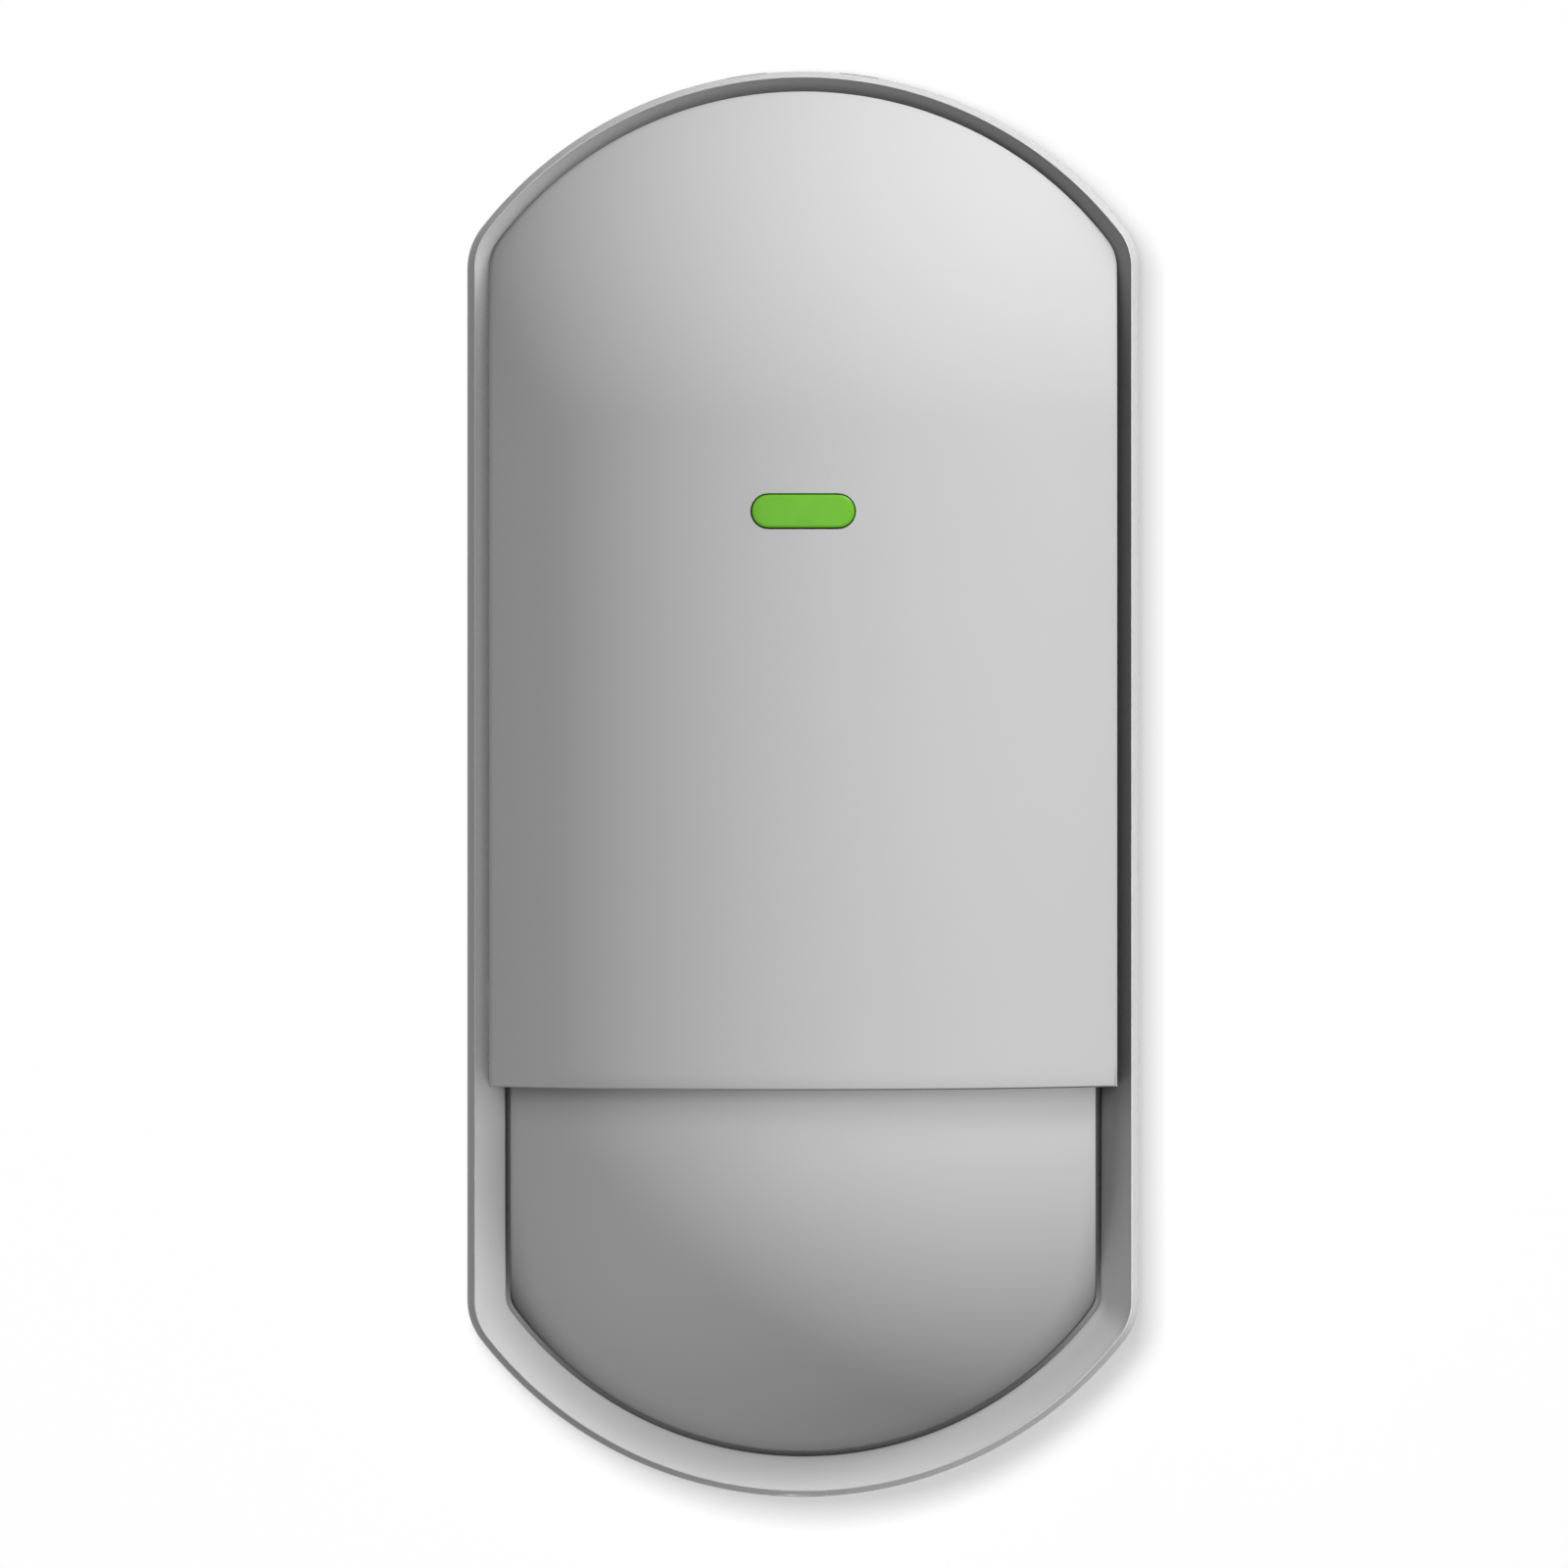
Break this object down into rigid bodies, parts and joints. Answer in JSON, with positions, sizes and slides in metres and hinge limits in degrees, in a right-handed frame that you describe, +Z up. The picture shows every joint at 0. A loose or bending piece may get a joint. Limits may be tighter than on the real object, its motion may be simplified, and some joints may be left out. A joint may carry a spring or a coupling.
{
  "type": "wall motion detector",
  "caption": "Wall-mounted infrared motion detector with a flared rim, domed cover, domed lens window, hinged front and battery inside.",
  "frame": {"origin": "centre of the outline on the back face, where the detector meets the wall", "axes": "+Z up along the height, +X to the right seen from the front, -Y out of the wall towards the room"},
  "size_m": [0.06, 0.042, 0.1274],
  "materials": {
    "housing": "satin moulded plastic, fine grain",
    "back_plastic": "satin moulded plastic",
    "lens_plastic": "satin translucent moulded plastic",
    "light_guide_green": "clear green, gloss",
    "black_plastic": "matt moulded plastic",
    "white_plastic": "matt moulded plastic",
    "red_plastic": "matt moulded plastic",
    "blue_plastic": "matt moulded plastic",
    "board_green": "solder mask on glass fibre, semi-gloss",
    "board_blue": "solder mask on glass fibre, semi-gloss",
    "steel": "zinc plated",
    "tin": "tinned",
    "spring_steel": "nickel plated",
    "sensor_metal": "nickel plated, warm",
    "filter_glass": "dark infrared filter, polished",
    "cell_wrap": "shrink wrap, gloss",
    "copper_wire": "enamelled",
    "led_epoxy": "clear epoxy"
  },
  "bodies": {
    "base": {"back_box": "back_plastic", "circuit_board": "board_green", "board_screws": "steel", "sensor_can": "sensor_metal", "sensor_window": "filter_glass", "sensor_shroud": "white_plastic", "battery_cell": "cell_wrap", "battery_holder": "black_plastic", "battery_spring": "spring_steel", "battery_plate": "spring_steel", "radio_board": "board_blue", "radio_shield": "tin", "antenna": "copper_wire", "processor": "black_plastic", "amplifier": "black_plastic", "crystal": "tin", "capacitor": "tin", "status_led": "led_epoxy", "tamper_switch": "black_plastic", "learn_switch": "black_plastic", "dip_switch": "red_plastic", "trimmer_body": "blue_plastic"},
    "front": {"front_frame": "housing", "front_cover": "housing", "lens": "lens_plastic", "lens_retainer": "black_plastic", "light_guide": "light_guide_green", "lock_screw": "steel", "lock_nut": "steel"},
    "tamper_plunger": {"tamper_plunger": "white_plastic"},
    "learn_button": {"learn_button": "white_plastic"},
    "dip_slider_1": {"dip_slider_1": "white_plastic"},
    "dip_slider_2": {"dip_slider_2": "white_plastic"},
    "dip_slider_3": {"dip_slider_3": "white_plastic"},
    "dip_slider_4": {"dip_slider_4": "white_plastic"},
    "trimmer_rotor": {"trimmer_rotor": "white_plastic"}
  },
  "joints": [
    {"name": "front_hinge", "type": "hinge", "parent": "base", "child": "front", "pos_m": [0, -0.013, 0.0619], "axis": [-1, 0, 0], "range_deg": [0, 45]},
    {"name": "tamper_slide", "type": "slide", "parent": "base", "child": "tamper_plunger", "axis": [0, -1, 0], "range_m": [0, 0.0015]},
    {"name": "learn_press", "type": "slide", "parent": "base", "child": "learn_button", "axis": [0, 1, 0], "range_m": [0, 0.0003], "stiffness_N_per_m": 3000},
    {"name": "dip_1", "type": "slide", "parent": "base", "child": "dip_slider_1", "axis": [0, 0, 1], "range_m": [0, 0.0012]},
    {"name": "dip_2", "type": "slide", "parent": "base", "child": "dip_slider_2", "axis": [0, 0, 1], "range_m": [0, 0.0012]},
    {"name": "dip_3", "type": "slide", "parent": "base", "child": "dip_slider_3", "axis": [0, 0, 1], "range_m": [0, 0.0012]},
    {"name": "dip_4", "type": "slide", "parent": "base", "child": "dip_slider_4", "axis": [0, 0, 1], "range_m": [0, 0.0012]},
    {"name": "sensitivity_turn", "type": "hinge", "parent": "base", "child": "trimmer_rotor", "pos_m": [0.0025, -0.012, -0.014], "axis": [0, -1, 0], "range_deg": [-135, 135]}
  ],
  "couplings": [
    {"joint": "tamper_slide", "follows": "front_hinge", "m_per_rad": 0.0019}
  ]
}
